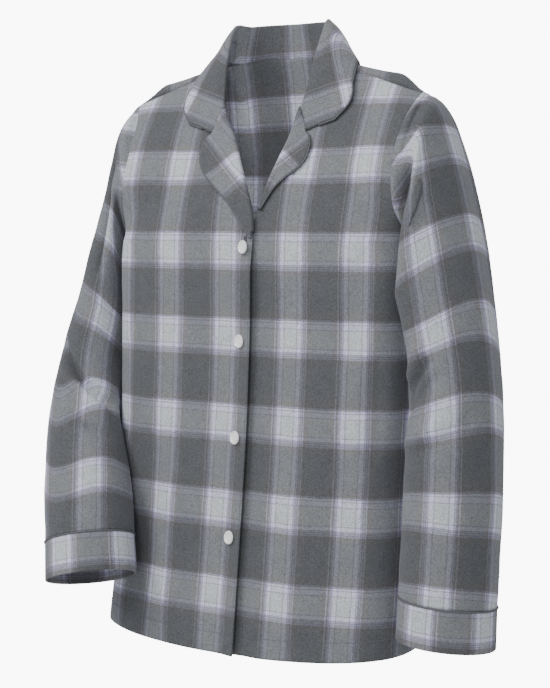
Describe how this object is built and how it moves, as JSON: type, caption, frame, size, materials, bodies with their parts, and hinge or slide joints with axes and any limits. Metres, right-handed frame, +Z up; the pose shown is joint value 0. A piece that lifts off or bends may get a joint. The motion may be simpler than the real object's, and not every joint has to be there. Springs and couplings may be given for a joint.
{
  "type": "pajama top",
  "caption": "Long-sleeved flannel pajama top with a notched collar, turned cuffs, corded edges and a buttoned front, filled out as it is worn.",
  "frame": {"origin": "middle of the neck base, level with the high shoulder points, where the garment hangs on its wearer", "axes": "+Z up, -Y out of the front, +X to the wearer's left"},
  "size_m": [0.5547, 0.2653, 0.6996],
  "materials": {
    "flannel": "brushed cotton flannel, plaid",
    "flannel_light": "brushed cotton flannel, plaid",
    "piping": "plain woven cotton over cord",
    "button_shell": "polished white"
  },
  "bodies": {
    "root": {"back": "flannel", "front_right": "flannel", "front_left": "flannel", "sleeve_right": "flannel", "sleeve_left": "flannel", "cuff_right": "flannel_light", "cuff_left": "flannel_light", "collar": "flannel", "lapel_right": "flannel", "lapel_left": "flannel", "collar_piping": "piping", "lapel_piping_right": "piping", "lapel_piping_left": "piping", "cuff_piping_right": "piping", "cuff_piping_left": "piping", "button_1": "button_shell", "button_2": "button_shell", "button_3": "button_shell", "button_4": "button_shell"}
  },
  "joints": []
}
